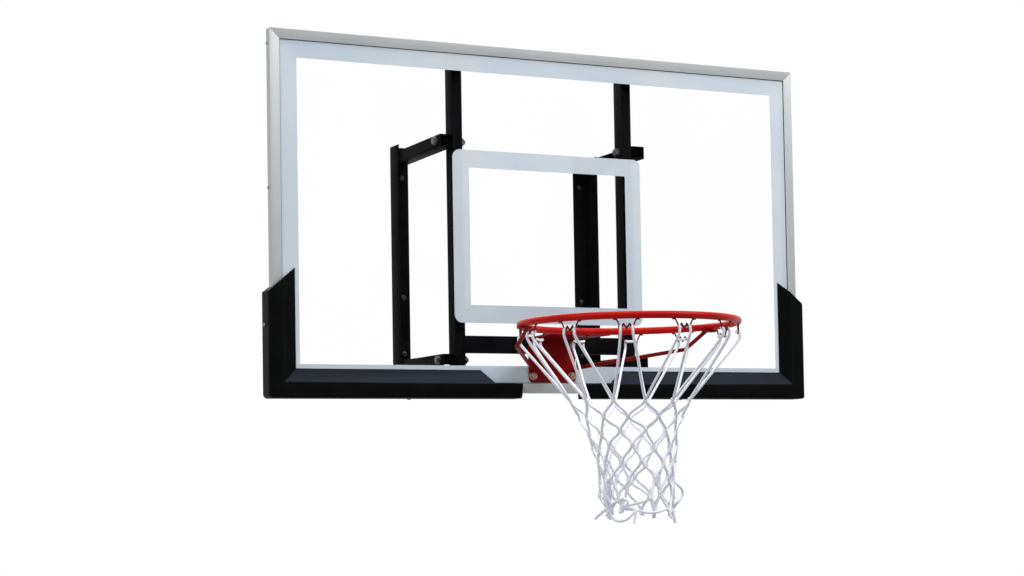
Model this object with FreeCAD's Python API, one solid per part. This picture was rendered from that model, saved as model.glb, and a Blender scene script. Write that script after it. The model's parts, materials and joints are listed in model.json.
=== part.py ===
import FreeCAD, Part
import math
import os

V = FreeCAD.Vector
os.makedirs("parts", exist_ok=True)

# All sizes in millimetres. X right, Y into the wall, Z up.
# Origin: on the wall, in the middle of the wall bolt pattern.

# Board
wall_offset = 320.0
board_w = 1372.0
board_h = 810.0

# Frame rails
rail_face = 23.0
rail_depth = 24.0
rail_wall = 2.0
slot_depth = 11.0
key_leg = 45.0
key_clear = 0.3
corner_screw_inset = 32.0
mid_screw_rise = 50.0
screw_head_r = 3.8
screw_head_h = 2.4
screw_r = 1.75
screw_bite = 8.0
screw_chamfer = 0.5

# Sheet, gasket and prints
panel_t = 8.0
panel_edge_gap = 4.0
gasket_front_t = 1.0
gasket_edge_t = 1.0
gasket_show = 1.0
film_t = 0.3
border_line = 39.0
target_w = 494.0
target_h = 402.0
target_line = 41.5
target_drop = 42.0
target_corner_r = 19.0

# Corner pads
pad_wrap = 13.0
pad_back = 10.0
pad_front = 13.0
pad_ridge = 22.0
pad_reach = 53.0
pad_tip = 1.5
pad_clear = 0.3
pad_round = 10.0
pad_edge = 4.0
pad_side_top = 277.0
pad_top_fall = 54.0
pad_slope_end = 185.0
pad_slope_run = 32.0
pad_band_end = 82.0
pad_band_slant = 3.0
pad_screw_r = 2.0
pad_screw_head_r = 4.5
pad_screw_head_h = 2.6
pad_screw_up = 150.0
pad_screw_x = 357.0

# Wall bracket
upright_x = 224.0
upright_w = 25.0
upright_d = 40.0
tube_wall = 2.0
upright_short = 5.0
cap_t = 2.5
cap_plug = 3.0
cap_clear = 0.3
cross_h = 40.0
cross_d = 20.0
arm_h = 30.0
arm_flange = 33.5
arm_t = 3.0
arm_low_in = 70.0
arm_high_in = 230.0
arm_rise = 6.0
arm_bolt_up = 2.0
arm_spacer_r = 10.5
arm_front_past = 24.0
angle_t = 4.0
angle_wall_leg = 46.0
angle_leg = 50.0
angle_past_arm = 36.0
wall_hole_r = 5.5
wall_hole_end = 75.5
wall_hole_mid_z = -78.0
wall_hole_in = 28.0
weld_leg = 5.0
weld_end = 4.0

# Bolts
m10_r = 5.0
m10_hole_r = 5.5
m10_head_af = 17.0
m10_head_h = 6.4
m10_nut_h = 8.4
m10_washer_r = 10.0
m10_washer_t = 2.0
thread_past = 4.0
m6_r = 3.0
m6_hole_r = 3.3
m6_head_af = 10.0
m6_head_h = 4.0
m6_nut_w = 10.0
m6_nut_t = 5.0
flange_head_r = 10.0
flange_head_t = 2.0
flange_hex_af = 15.0
flange_hex_h = 6.0
spacer_r = 9.0

# Rim
rim_inner_r = 228.6
rim_rod_r = 8.0
rim_gap = 149.0
rim_above_edge = 135.0
plate_w = 122.0
plate_t = 4.0
plate_low = 25.0
plate_corner_r = 10.0
plate_bend_r = 3.0
neck_seat = 3.0
neck_spread = 16.0
rim_bolt_dx = 102.0
rim_bolt_dz = 74.0
rim_bolt_low = 40.0
brace_r = 4.5
brace_bend = 16.0
brace_drop = 46.0
brace_side = 213.0
brace_behind = 122.0
brace_foot_x = 50.0
brace_foot_up = 17.0
brace_in = 8.0
tab_w = 22.0
tab_l = 31.0
tab_t = 5.0
tab_corner_r = 6.5
tab_behind = 45.0
tab_in = 1.7
tab_seat = 1.0
bead_r = 4.0
bead_in = 1.0
clip_count = 12
clip_r = 2.0
clip_half = 24.0
clip_low_half = 11.5
clip_low = 29.0
clip_peak = 17.0
clip_bend = 3.5
clip_clear = 0.3

# Net
net_cord_w = 4.0
net_cord_t = 4.0
net_top_half = 12.0
net_gap = 0.4
net_top_w = 5.0
net_first = 170.0
net_rows = 8
net_length = 404.0
net_waist_r = 81.0
net_first_r = 133.0
net_taper = 3.8

# Sizes that follow from the ones above
front_y = -wall_offset
back_y = front_y + rail_depth
arm_z = (board_h - arm_low_in - arm_high_in) / 2
bottom_z = -arm_z - arm_low_in
top_z = bottom_z + board_h
mid_z = (bottom_z + top_z) / 2
side_x = board_w / 2
panel_y = front_y + rail_wall + gasket_front_t
panel_back_y = panel_y + panel_t
film_y = panel_y - film_t
hollow_y0 = front_y + rail_wall + slot_depth + rail_wall
hollow_y1 = back_y - rail_wall
hollow_mid_y = (hollow_y0 + hollow_y1) / 2
hollow_in = rail_face - rail_wall
upright_y1 = back_y + upright_d
upright_mid_y = back_y + upright_d / 2
upright_top = top_z - upright_short
upright_low = bottom_z + upright_short
upright_out = upright_x + upright_w / 2
upright_in = upright_x - upright_w / 2
rail_bolt_in = (rail_wall + hollow_in) / 2
arm_out = upright_out + arm_flange
angle_out = arm_out + angle_t
angle_half = arm_z + angle_past_arm
wall_hole_x = angle_out - wall_hole_in
wall_hole_z = angle_half - wall_hole_end
rim_mid_r = rim_inner_r + rim_rod_r
rim_z = bottom_z + rim_above_edge
rim_y = panel_y - rim_gap - rim_inner_r
rim_centre = V(0, rim_y, rim_z)
plate_back_y = film_y
plate_front_y = film_y - plate_t
neck_top_z = rim_z - rim_rod_r + neck_seat
plate_bottom_z = bottom_z + plate_low
bolt_low_z = bottom_z + rim_bolt_low
bolt_high_z = bolt_low_z + rim_bolt_dz
film_in = rail_face + gasket_show


def box(x0, x1, y0, y1, z0, z1):
    return Part.makeBox(x1 - x0, y1 - y0, z1 - z0, V(x0, y0, z0))


def rod(start, along, radius, length):
    return Part.makeCylinder(radius, length, start, along)


def prism(points, move):
    return Part.Face(Part.makePolygon(points + [points[0]])).extrude(move)


def hex_prism(start, along, across, length):
    r = across / math.sqrt(3)
    turn = FreeCAD.Rotation(V(0, 0, 1), along)
    points = []
    for i in range(6):
        a = math.radians(60 * i)
        points.append(start + turn.multVec(V(r * math.cos(a), r * math.sin(a), 0)))
    return prism(points, V(along) * length)


def hex_nut(start, along, across, length, hole):
    return hex_prism(start, along, across, length).cut(rod(start, along, hole, length))


def washer(start, along, radius, thick, hole):
    return rod(start, along, radius, thick).cut(rod(start, along, hole, thick))


def bent_wire(points, bend):
    edges = []
    start = points[0]
    for i in range(1, len(points) - 1):
        here = points[i]
        back = (points[i - 1] - here).normalize()
        ahead = (points[i + 1] - here).normalize()
        half = back.getAngle(ahead) / 2
        middle = (back + ahead).normalize()
        enter = here + back * (bend / math.tan(half))
        leave = here + ahead * (bend / math.tan(half))
        top = here + middle * (bend / math.sin(half) - bend)
        edges.append(Part.makeLine(start, enter))
        edges.append(Part.Arc(enter, top, leave).toShape())
        start = leave
    edges.append(Part.makeLine(start, points[-1]))
    return Part.Wire(edges)


def bent_rod(points, bend, radius):
    path = bent_wire(points, bend)
    ring = Part.Wire(Part.makeCircle(radius, points[0], points[1] - points[0]))
    return path.makePipeShell([ring], True, False)


def save(name, shapes):
    shape = shapes[0] if len(shapes) == 1 else Part.makeCompound(shapes)
    shape.exportStep("parts/" + name + ".step")


def frame_ring(u0, u1, y0, y1):
    outer = box(-side_x + u0, side_x - u0, y0, y1, bottom_z + u0, top_z - u0)
    inner = box(-side_x + u1, side_x - u1, y0, y1, bottom_z + u1, top_z - u1)
    return outer.cut(inner)


def rim_bolt_points():
    points = []
    for x in (-rim_bolt_dx / 2, rim_bolt_dx / 2):
        for z in (bolt_low_z, bolt_high_z):
            points.append((x, z))
    return points


def upright_bolt_points():
    points = []
    for x in (-upright_x, upright_x):
        for z in (bottom_z + rail_bolt_in, top_z - rail_bolt_in):
            points.append((x, z))
    return points


# Each screw of the frame and pads: where it meets the rail, and the way it drives in
def corner_screw_spots():
    spots = []
    for s in (-1, 1):
        for x in (-side_x + corner_screw_inset, side_x - corner_screw_inset):
            z = top_z if s > 0 else bottom_z
            spots.append((V(x, hollow_mid_y, z), V(0, 0, -s)))
        for z in (bottom_z + corner_screw_inset, top_z - corner_screw_inset):
            spots.append((V(s * side_x, hollow_mid_y, z), V(-s, 0, 0)))
    return spots


def mid_screw_spots():
    return [(V(s * side_x, hollow_mid_y, mid_z + mid_screw_rise), V(-s, 0, 0)) for s in (-1, 1)]


def frame_screw_spots():
    return corner_screw_spots() + mid_screw_spots()


def pad_screw_spots():
    spots = []
    for s in (-1, 1):
        spots.append((V(s * side_x, hollow_mid_y, bottom_z + pad_screw_up), V(-s, 0, 0)))
        spots.append((V(s * pad_screw_x, hollow_mid_y, bottom_z), V(0, 0, 1)))
    return spots


def make_panel():
    g = panel_edge_gap
    sheet = box(-side_x + g, side_x - g, panel_y, panel_back_y, bottom_z + g, top_z - g)
    for x, z in rim_bolt_points():
        sheet = sheet.cut(rod(V(x, panel_y, z), V(0, 1, 0), m10_hole_r, panel_t))
    return sheet


def make_border_print():
    film = frame_ring(film_in, film_in + border_line, film_y, panel_y)
    for x, z in rim_bolt_points():
        film = film.cut(rod(V(x, film_y, z), V(0, 1, 0), m10_hole_r, film_t))
    return film


def make_target_print():
    middle = mid_z - target_drop
    a = target_w / 2
    b = target_h / 2
    outer = box(-a, a, film_y, panel_y, middle - b, middle + b)
    edges = [e for e in outer.Edges if abs(e.tangentAt(e.FirstParameter).y) > 0.9]
    outer = outer.makeFillet(target_corner_r, edges)
    t = target_line
    return outer.cut(box(-a + t, a - t, film_y, panel_y, middle - b + t, middle + b - t))


def make_gasket():
    edge = panel_edge_gap - gasket_edge_t
    slot_y0 = front_y + rail_wall
    front = frame_ring(edge, film_in, slot_y0, panel_y)
    side = frame_ring(edge, panel_edge_gap, panel_y, panel_back_y)
    rear = frame_ring(edge, hollow_in, panel_back_y, slot_y0 + slot_depth)
    return front.fuse([side, rear]).removeSplitter()


# One rail lying along X with its outer edge on z = 0, cut at 45 degrees at both ends
def make_rail(length):
    h = length / 2
    w = rail_wall
    rail = box(-h, h, 0, rail_depth, 0, rail_face)
    rail = rail.cut(box(-h, h, w, w + slot_depth, w, rail_face))
    hollow_start = w + slot_depth + w
    rail = rail.cut(box(-h, h, hollow_start, rail_depth - w, w, hollow_in))
    f = rail_face
    ends = [V(-h, 0, 0), V(h, 0, 0), V(h - f, 0, f), V(-h + f, 0, f)]
    return rail.common(prism(ends, V(0, rail_depth, 0)))


def place_rail(length, turn, x, z):
    rail = make_rail(length)
    rail.rotate(V(0, 0, 0), V(0, 1, 0), turn)
    rail.translate(V(x, front_y, z))
    tools = []
    for spot, way in frame_screw_spots():
        tools.append(rod(spot - way, way, screw_r, rail_wall + 1))
    for spot, way in pad_screw_spots():
        tools.append(rod(spot - way, way, pad_screw_r, rail_wall + 1))
    for bx, bz in upright_bolt_points():
        tools.append(rod(V(bx, hollow_y1, bz), V(0, 1, 0), m6_hole_r, rail_wall))
    return rail.cut(tools)


def make_corner_keys():
    c = key_clear
    keys = []
    for sx in (-1, 1):
        for sz in (-1, 1):
            corner = V(sx * side_x, 0, mid_z + sz * board_h / 2)
            near = rail_wall + c
            far = hollow_in - c

            def leg(u0, u1, w0, w1):
                x0, x1 = sorted((corner.x - sx * u0, corner.x - sx * u1))
                z0, z1 = sorted((corner.z - sz * w0, corner.z - sz * w1))
                return box(x0, x1, hollow_y0 + c, hollow_y1 - c, z0, z1)

            key = leg(near, key_leg, near, far).fuse(leg(near, far, near, key_leg))
            for spot, way in corner_screw_spots():
                key = key.cut(rod(spot, way, screw_r, rail_wall + screw_bite))
            keys.append(key.removeSplitter())
    return keys


def make_screw(spot, way, stand, r, head_r, head_h):
    seat = spot - way * stand
    shank = rod(seat, way, r, stand + rail_wall + screw_bite)
    head = rod(seat - way * head_h, way, head_r, head_h)
    edge = [e for e in head.Edges if abs((e.CenterOfMass - seat).dot(way) + head_h) < 0.01]
    head = head.makeChamfer(head_h * screw_chamfer, edge[:1])
    return head.fuse(shank).removeSplitter()


def pad_section():
    c = pad_clear
    print_v = rail_wall + gasket_front_t - film_t - c
    seam = film_in + c
    return [
        (print_v, pad_reach),
        (print_v - pad_tip, pad_reach),
        (-pad_front, pad_ridge),
        (-pad_front, -pad_wrap + pad_edge),
        (-pad_front + pad_edge, -pad_wrap),
        (rail_depth + pad_back, -pad_wrap),
        (rail_depth + pad_back, -c),
        (-c, -c),
        (-c, seam),
        (print_v, seam),
    ]


def make_left_pad():
    x0 = -side_x
    z0 = bottom_z
    far = pad_reach + pad_wrap
    y0 = front_y - 2 * pad_front
    depth = V(0, rail_depth + 4 * pad_front, 0)

    low = [V(x0 - pad_wrap, front_y + v, z0 + w) for v, w in pad_section()]
    low = prism(low, V(side_x + pad_wrap - pad_band_end, 0, 0))
    side = [V(x0 + w, front_y + v, z0 - pad_wrap) for v, w in pad_section()]
    side = prism(side, V(0, 0, pad_side_top + pad_wrap))

    low_zone = [(-far, -far), (side_x, -far), (side_x, far), (far, far)]
    low_zone = [V(x0 + u, y0, z0 + w) for u, w in low_zone]
    side_zone = [(-far, -far), (far, far), (far, 2 * pad_side_top), (-far, 2 * pad_side_top)]
    side_zone = [V(x0 + u, y0, z0 + w) for u, w in side_zone]
    pad = low.common(prism(low_zone, depth)).fuse(side.common(prism(side_zone, depth)))
    pad = pad.removeSplitter()

    top = pad_side_top
    slope = pad_top_fall / (pad_reach + pad_wrap)
    above = [(far, top + slope * (far - pad_reach)), (far, 2 * top), (-far, 2 * top)]
    above.append((-far, top - slope * (far + pad_reach)))
    above = [V(x0 + u, y0, z0 + w) for u, w in above]
    end = pad_slope_end
    run = pad_slope_run
    ledge = [(-end, pad_reach), (-end + run, pad_ridge), (0, pad_ridge), (0, far), (-end, far)]
    ledge = [V(x, y0, z0 + w) for x, w in ledge]
    tip = [(-pad_band_end, pad_ridge), (-pad_band_end - pad_band_slant, -pad_wrap - 1)]
    tip = tip + [(0, -pad_wrap - 1), (0, pad_ridge)]
    tip = [V(x, y0, z0 + w) for x, w in tip]
    pad = pad.cut([prism(above, depth), prism(ledge, depth), prism(tip, depth)])

    cx = x0 - pad_wrap
    cz = z0 - pad_wrap
    corner = box(cx, cx + pad_round, y0, y0 + depth.y, cz, cz + pad_round)
    keep = rod(V(cx + pad_round, y0, cz + pad_round), V(0, 1, 0), pad_round, depth.y)
    pad = pad.cut(corner.cut(keep))
    for spot, way in pad_screw_spots():
        pad = pad.cut(rod(spot - way * (pad_wrap + 1), way, pad_screw_r, pad_wrap + 1))
    deep = screw_head_h + pad_clear
    for spot, way in corner_screw_spots():
        pad = pad.cut(rod(spot - way * deep, way, screw_head_r + pad_clear, deep))
    return pad


def mirrored(shape):
    return shape.mirror(V(0, 0, 0), V(1, 0, 0))


def tube(x0, x1, y0, y1, z0, z1, axis):
    w = tube_wall
    inner = {
        "x": box(x0, x1, y0 + w, y1 - w, z0 + w, z1 - w),
        "z": box(x0 + w, x1 - w, y0 + w, y1 - w, z0, z1),
    }
    return box(x0, x1, y0, y1, z0, z1).cut(inner[axis])


def arm_levels():
    return [arm_z + arm_rise, -arm_z + arm_rise]


def arm_bolt_levels():
    return [z + arm_bolt_up for z in arm_levels()]


def make_upright():
    post = tube(-upright_out, -upright_in, back_y, upright_y1, upright_low, upright_top, "z")
    tools = []
    for z in arm_bolt_levels():
        tools.append(rod(V(-upright_out, upright_mid_y, z), V(1, 0, 0), m10_hole_r, upright_w))
    for x, z in upright_bolt_points():
        tools.append(rod(V(x, back_y, z), V(0, 1, 0), m6_hole_r, upright_d))
    return post.cut(tools)


def make_upright_caps():
    caps = []
    g = tube_wall + cap_clear
    for s in (-1, 1):
        x0 = s * upright_x - upright_w / 2
        x1 = x0 + upright_w
        for end, way in ((upright_low, -1), (upright_top, 1)):
            lid_z = sorted((end, end + way * cap_t))
            plug_z = sorted((end, end - way * cap_plug))
            lid = box(x0, x1, back_y, upright_y1, lid_z[0], lid_z[1])
            plug = box(x0 + g, x1 - g, back_y + g, upright_y1 - g, plug_z[0], plug_z[1])
            caps.append(lid.fuse(plug).removeSplitter())
    return caps


def make_upright_bolts():
    bolts = []
    length = upright_y1 - hollow_y1 + m6_nut_t
    for x, z in upright_bolt_points():
        seat = V(x, upright_y1, z)
        head = hex_prism(seat, V(0, 1, 0), m6_head_af, m6_head_h)
        bolts.append(head.fuse(rod(seat, V(0, -1, 0), m6_r, length)).removeSplitter())
    return bolts


def make_upright_nuts():
    nuts = []
    h = m6_nut_w / 2
    for x, z in upright_bolt_points():
        nut = box(x - h, x + h, hollow_y1 - m6_nut_t, hollow_y1, z - h, z + h)
        hole = rod(V(x, hollow_y1 - m6_nut_t, z), V(0, 1, 0), m6_r, m6_nut_t)
        nuts.append(nut.cut(hole))
    return nuts


def make_cross_tube(z):
    h = cross_h / 2
    bar = tube(-upright_in, upright_in, back_y, back_y + cross_d, z - h, z + h, "x")
    for x in (-rim_bolt_dx / 2, rim_bolt_dx / 2):
        bar = bar.cut(rod(V(x, back_y, z), V(0, 1, 0), m10_hole_r, cross_d))
    return bar


def make_arm(z):
    h = arm_h / 2
    front = upright_mid_y - arm_front_past
    arm = box(-arm_out, -upright_out, front, -angle_t, z - h, z + h)
    t = arm_t
    arm = arm.cut(box(-arm_out + t, -upright_out, front, -angle_t, z - h + t, z + h - t))
    bolt = V(-arm_out, upright_mid_y, z + arm_bolt_up)
    return arm.cut(rod(bolt, V(1, 0, 0), m10_hole_r, arm_t))


def arm_bolt_parts():
    bolts = []
    washers = []
    nuts = []
    spacers = []
    for s in (-1, 1):
        inward = V(-s, 0, 0)
        for z in arm_bolt_levels():
            web = V(s * arm_out, upright_mid_y, z)
            far = V(s * upright_in, upright_mid_y, z)
            head_seat = web - inward * m10_washer_t
            nut_seat = far + inward * m10_washer_t
            grip = arm_out - upright_in + 2 * m10_washer_t + m10_nut_h + thread_past
            head = hex_prism(head_seat, inward * -1, m10_head_af, m10_head_h)
            bolts.append(head.fuse(rod(head_seat, inward, m10_r, grip)).removeSplitter())
            washers.append(washer(head_seat, inward, m10_washer_r, m10_washer_t, m10_hole_r))
            washers.append(washer(far, inward, m10_washer_r, m10_washer_t, m10_hole_r))
            nuts.append(hex_nut(nut_seat, inward, m10_head_af, m10_nut_h, m10_r))
            inside = web + inward * arm_t
            spacers.append(washer(inside, inward, arm_spacer_r, arm_flange - arm_t, m10_hole_r))
    return bolts, washers, nuts, spacers


def make_wall_angle():
    leg = box(-angle_out, -arm_out, -angle_leg, 0, -angle_half, angle_half)
    foot = box(-angle_out, -angle_out + angle_wall_leg, -angle_t, 0, -angle_half, angle_half)
    angle = leg.fuse(foot).removeSplitter()
    for z in (wall_hole_z, wall_hole_mid_z, -wall_hole_z):
        angle = angle.cut(rod(V(-wall_hole_x, -angle_t, z), V(0, 1, 0), wall_hole_r, angle_t))
    return angle


def make_bracket_welds():
    welds = []
    k = weld_leg
    run = angle_leg - angle_t - 2 * weld_end
    for s in (-1, 1):
        for zc in arm_levels():
            for way in (-1, 1):
                x = s * arm_out
                z = zc + way * arm_h / 2
                y = -angle_leg + weld_end
                tri = [V(x, y, z), V(x - s * k, y, z), V(x, y, z + way * k)]
                welds.append(prism(tri, V(0, run, 0)))
        for zc in (bolt_low_z, bolt_high_z):
            x = s * upright_in
            y = back_y + cross_d
            z = zc - cross_h / 2 + weld_end
            tri = [V(x, y, z), V(x - s * k, y, z), V(x, y + k, z)]
            welds.append(prism(tri, V(0, 0, cross_h - 2 * weld_end)))
    return welds


def make_rim_ring():
    return Part.makeTorus(rim_mid_r, rim_rod_r, rim_centre, V(0, 0, 1))


def make_rim_bracket(ring):
    h = plate_w / 2
    low_z = neck_top_z - plate_t
    plate = box(-h, h, plate_front_y, plate_back_y, plate_bottom_z, neck_top_z)
    lows = [e for e in plate.Edges if e.BoundBox.ZMax < plate_bottom_z + 1 and e.BoundBox.YLength > 1]
    plate = plate.makeFillet(plate_corner_r, lows)
    reach = rim_y + rim_mid_r - 2 * rim_rod_r
    wide = h + neck_spread
    neck = [V(-h, plate_back_y, low_z), V(h, plate_back_y, low_z)]
    neck = neck + [V(wide, reach, low_z), V(-wide, reach, low_z)]
    neck = prism(neck, V(0, 0, plate_t))
    edge_r = math.hypot(rim_mid_r + clip_r, clip_half) + clip_clear
    under = rod(V(0, rim_y, low_z - 1), V(0, 0, 1), edge_r, plate_t + 2)
    bracket = plate.fuse(neck.cut(under)).removeSplitter()
    bend = []
    for e in bracket.Edges:
        b = e.BoundBox
        if b.XLength > plate_w * 0.9 and b.YMin > plate_back_y - 0.1 and b.ZMin > neck_top_z - 0.1:
            bend.append(e)
    bracket = bracket.makeFillet(plate_bend_r, bend)
    for x, z in rim_bolt_points():
        bracket = bracket.cut(rod(V(x, plate_front_y, z), V(0, 1, 0), m10_hole_r, plate_t))
    return bracket.cut(ring)


def make_rim_welds(ring, bracket):
    reach = math.degrees(math.asin((plate_w / 2 + neck_spread / 2) / rim_mid_r))
    centre = V(0, rim_y, neck_top_z)
    bead = Part.makeTorus(rim_mid_r + rim_rod_r - bead_in, bead_r, centre, V(0, 0, 1))
    far = rim_mid_r + rim_gap
    half = far * math.tan(math.radians(reach))
    wedge = [centre, V(half, rim_y + far, neck_top_z), V(-half, rim_y + far, neck_top_z)]
    bead = bead.common(prism(wedge, V(0, 0, bead_r)))
    return bead.cut([ring, bracket])


def make_rim_brace(ring):
    tab_top = rim_z - rim_rod_r + tab_seat
    tab_low = tab_top - tab_t
    up = tab_low + tab_t / 2
    side = math.sqrt(rim_mid_r ** 2 - tab_behind ** 2)
    tab_mid = V(side - tab_in, rim_y + tab_behind, up)
    inner = tab_mid - V(tab_l / 2, 0, 0)
    start = tab_mid - V(brace_in, 0, 0)
    low = V(brace_side, rim_y + brace_behind, rim_z - brace_drop)
    foot = V(brace_foot_x, plate_back_y, bolt_low_z + brace_foot_up)
    arm = bent_rod([start, low, foot], brace_bend, brace_r)
    arm = arm.cut(box(0, side_x, plate_front_y, back_y, bottom_z, rim_z))
    b = tab_w / 2
    tab = box(inner.x, inner.x + tab_l, inner.y - b, inner.y + b, tab_low, tab_top)
    ends = [e for e in tab.Edges if e.BoundBox.ZLength > tab_t * 0.9]
    tab = tab.makeFillet(tab_corner_r, ends)
    cap = box(inner.x - tab_w, side_x, inner.y - 2 * b, inner.y + 2 * b, tab_top, rim_z)
    return arm.cut(cap).fuse(tab).removeSplitter().cut(ring)


# A clip hangs below the ring like a W: its two ends are welded into the ring's underside
def clip_points():
    left = [(-clip_half, -rim_rod_r / 2), (-clip_low_half, -clip_low)]
    right = [(-t, z) for t, z in reversed(left)]
    shape = left + [(0, -clip_peak)] + right
    return [V(rim_mid_r, rim_y + t, rim_z + z) for t, z in shape]


def clip_bottom():
    end, low, peak = clip_points()[:3]
    half = (end - low).getAngle(peak - low) / 2
    lift = clip_bend / math.sin(half) - clip_bend
    return low.z + lift - clip_r


def make_net_clips(ring):
    clip = bent_rod(clip_points(), clip_bend, clip_r).cut(ring)
    clips = []
    for i in range(clip_count):
        copy = clip.copy()
        copy.rotate(rim_centre, V(0, 0, 1), 360.0 * i / clip_count)
        clips.append(copy)
    return clips


def rim_bolt_parts():
    bolts = []
    washers = []
    nuts = []
    spacers = []
    deep = V(0, 1, 0)
    tube_back = back_y + cross_d
    for x, z in rim_bolt_points():
        seat = V(x, plate_front_y, z)
        rear = V(x, tube_back, z)
        nut_seat = V(x, tube_back + m10_washer_t, z)
        length = nut_seat.y + m10_nut_h + thread_past - plate_front_y
        head = rod(seat, V(0, -1, 0), flange_head_r, flange_head_t)
        hexa = hex_prism(seat, V(0, -1, 0), flange_hex_af, flange_head_t + flange_hex_h)
        bolts.append(head.fuse([hexa, rod(seat, deep, m10_r, length)]).removeSplitter())
        washers.append(washer(rear, deep, m10_washer_r, m10_washer_t, m10_hole_r))
        nuts.append(hex_nut(nut_seat, deep, m10_head_af, m10_nut_h, m10_r))
        gap = back_y - panel_back_y
        spacers.append(washer(V(x, panel_back_y, z), deep, spacer_r, gap, m10_hole_r))
    return bolts, washers, nuts, spacers


# The net is a tube of knots: each knot has four corners, and cords run corner to corner
def net_row(k):
    part = k / (net_rows - 1)
    down = net_first + (net_length - net_first) * part
    radius = net_waist_r + (net_first_r - net_waist_r) * math.exp(-net_taper * part)
    return rim_z - down, radius


def net_point(angle, radius, along, z):
    x = radius * math.cos(angle) - along * math.sin(angle)
    y = radius * math.sin(angle) + along * math.cos(angle)
    return V(x, rim_y + y, z)


def make_net():
    step = 2 * math.pi / clip_count
    faces = []

    def quad(a, b, c, d):
        for tri in ((a, b, c), (a, c, d)):
            faces.append(Part.Face(Part.makePolygon(list(tri) + [tri[0]])))

    def skin(ring):
        quad(*[p[0] for p in ring])
        quad(*[p[1] for p in reversed(ring)])

    def wall(p, q):
        quad(p[0], p[1], q[1], q[0])

    def pair(angle, radius, along, z):
        h = net_cord_t / 2
        return (net_point(angle, radius + h, along, z), net_point(angle, radius - h, along, z))

    knots = []
    for k in range(net_rows):
        z, radius = net_row(k)
        row = []
        for i in range(clip_count):
            angle = step * (i + 0.5 * ((k + 1) % 2))
            w = net_cord_w
            left = pair(angle, radius, -w, z)
            right = pair(angle, radius, w, z)
            row.append((left, pair(angle, radius, 0, z - w), right, pair(angle, radius, 0, z + w)))
        knots.append(row)

    for row in knots:
        for left, low, right, high in row:
            skin([left, low, right, high])

    for k in range(net_rows - 1):
        shift = (k + 1) % 2
        for i in range(clip_count):
            left, low, right, high = knots[k][i]
            below_right = knots[k + 1][(i + shift) % clip_count]
            below_left = knots[k + 1][(i + shift - 1) % clip_count]
            skin([right, low, below_right[0], below_right[3]])
            wall(low, below_right[0])
            wall(below_right[3], right)
            skin([low, left, below_left[3], below_left[2]])
            wall(left, below_left[3])
            wall(below_left[2], low)

    top_z0 = clip_bottom() - net_gap
    for i in range(clip_count):
        for side in (-1, 1):
            angle = step * i
            a = pair(angle, rim_mid_r, side * net_top_half - net_top_w / 2, top_z0)
            b = pair(angle, rim_mid_r, side * net_top_half + net_top_w / 2, top_z0)
            knot = knots[0][i if side > 0 else (i - 1) % clip_count]
            left, low, right, high = knot
            lower = (left, high) if side > 0 else (high, right)
            skin([a, lower[0], lower[1], b])
            wall(a, lower[0])
            wall(lower[1], b)
            wall(b, a)

    for left, low, right, high in knots[-1]:
        wall(left, low)
        wall(low, right)
    shell = Part.makeShell(faces)
    shell.sewShape()
    solid = Part.Solid(shell)
    if solid.Volume < 0:
        solid.reverse()
    return solid


def main():
    save("panel", [make_panel()])
    save("border_print", [make_border_print()])
    save("target_print", [make_target_print()])
    save("panel_gasket", [make_gasket()])
    save("frame_bottom", [place_rail(board_w, 0, 0, bottom_z)])
    save("frame_top", [place_rail(board_w, 180, 0, top_z)])
    save("frame_left", [place_rail(board_h, 90, -side_x, mid_z)])
    save("frame_right", [place_rail(board_h, -90, side_x, mid_z)])
    save("corner_keys", make_corner_keys())
    screws = []
    for spot, way in frame_screw_spots():
        screws.append(make_screw(spot, way, 0, screw_r, screw_head_r, screw_head_h))
    save("frame_screws", screws)

    left_pad = make_left_pad()
    save("left_pad", [left_pad])
    save("right_pad", [mirrored(left_pad)])
    screws = []
    for spot, way in pad_screw_spots():
        screw = make_screw(spot, way, pad_wrap, pad_screw_r, pad_screw_head_r, pad_screw_head_h)
        screws.append(screw)
    save("pad_screws", screws)

    upright = make_upright()
    save("upright_left", [upright])
    save("upright_right", [mirrored(upright)])
    save("upright_caps", make_upright_caps())
    save("upright_bolts", make_upright_bolts())
    save("upright_nuts", make_upright_nuts())
    save("cross_tube_upper", [make_cross_tube(bolt_high_z)])
    save("cross_tube_lower", [make_cross_tube(bolt_low_z)])
    for level, z in zip(("upper", "lower"), arm_levels()):
        arm = make_arm(z)
        save("arm_" + level + "_left", [arm])
        save("arm_" + level + "_right", [mirrored(arm)])
    bolts, washers, nuts, spacers = arm_bolt_parts()
    save("arm_bolts", bolts)
    save("arm_washers", washers)
    save("arm_nuts", nuts)
    save("arm_spacers", spacers)
    angle = make_wall_angle()
    save("wall_angle_left", [angle])
    save("wall_angle_right", [mirrored(angle)])
    save("bracket_welds", make_bracket_welds())

    ring = make_rim_ring()
    bracket = make_rim_bracket(ring)
    save("rim_ring", [ring])
    save("rim_bracket", [bracket])
    save("rim_welds", [make_rim_welds(ring, bracket)])
    brace = make_rim_brace(ring)
    save("rim_brace_right", [brace])
    save("rim_brace_left", [mirrored(brace)])
    save("net_clips", make_net_clips(ring))
    bolts, washers, nuts, spacers = rim_bolt_parts()
    save("rim_bolts", bolts)
    save("rim_washers", washers)
    save("rim_nuts", nuts)
    save("rim_spacers", spacers)
    save("net", [make_net()])


main()
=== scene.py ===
# %% [markdown]
# # A wall-mounted basketball backboard
# A clear sheet in a silver frame hangs on a black tube bracket. It carries a red ring with a net,
# and black pads guard its two lower corners.
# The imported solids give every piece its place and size. This lesson dresses them: edges are
# rounded, soft pieces are modelled again, and every surface gets a finish made of nodes.

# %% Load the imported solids
import json
import math
import random

import bpy
from mathutils import Matrix, Vector

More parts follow.
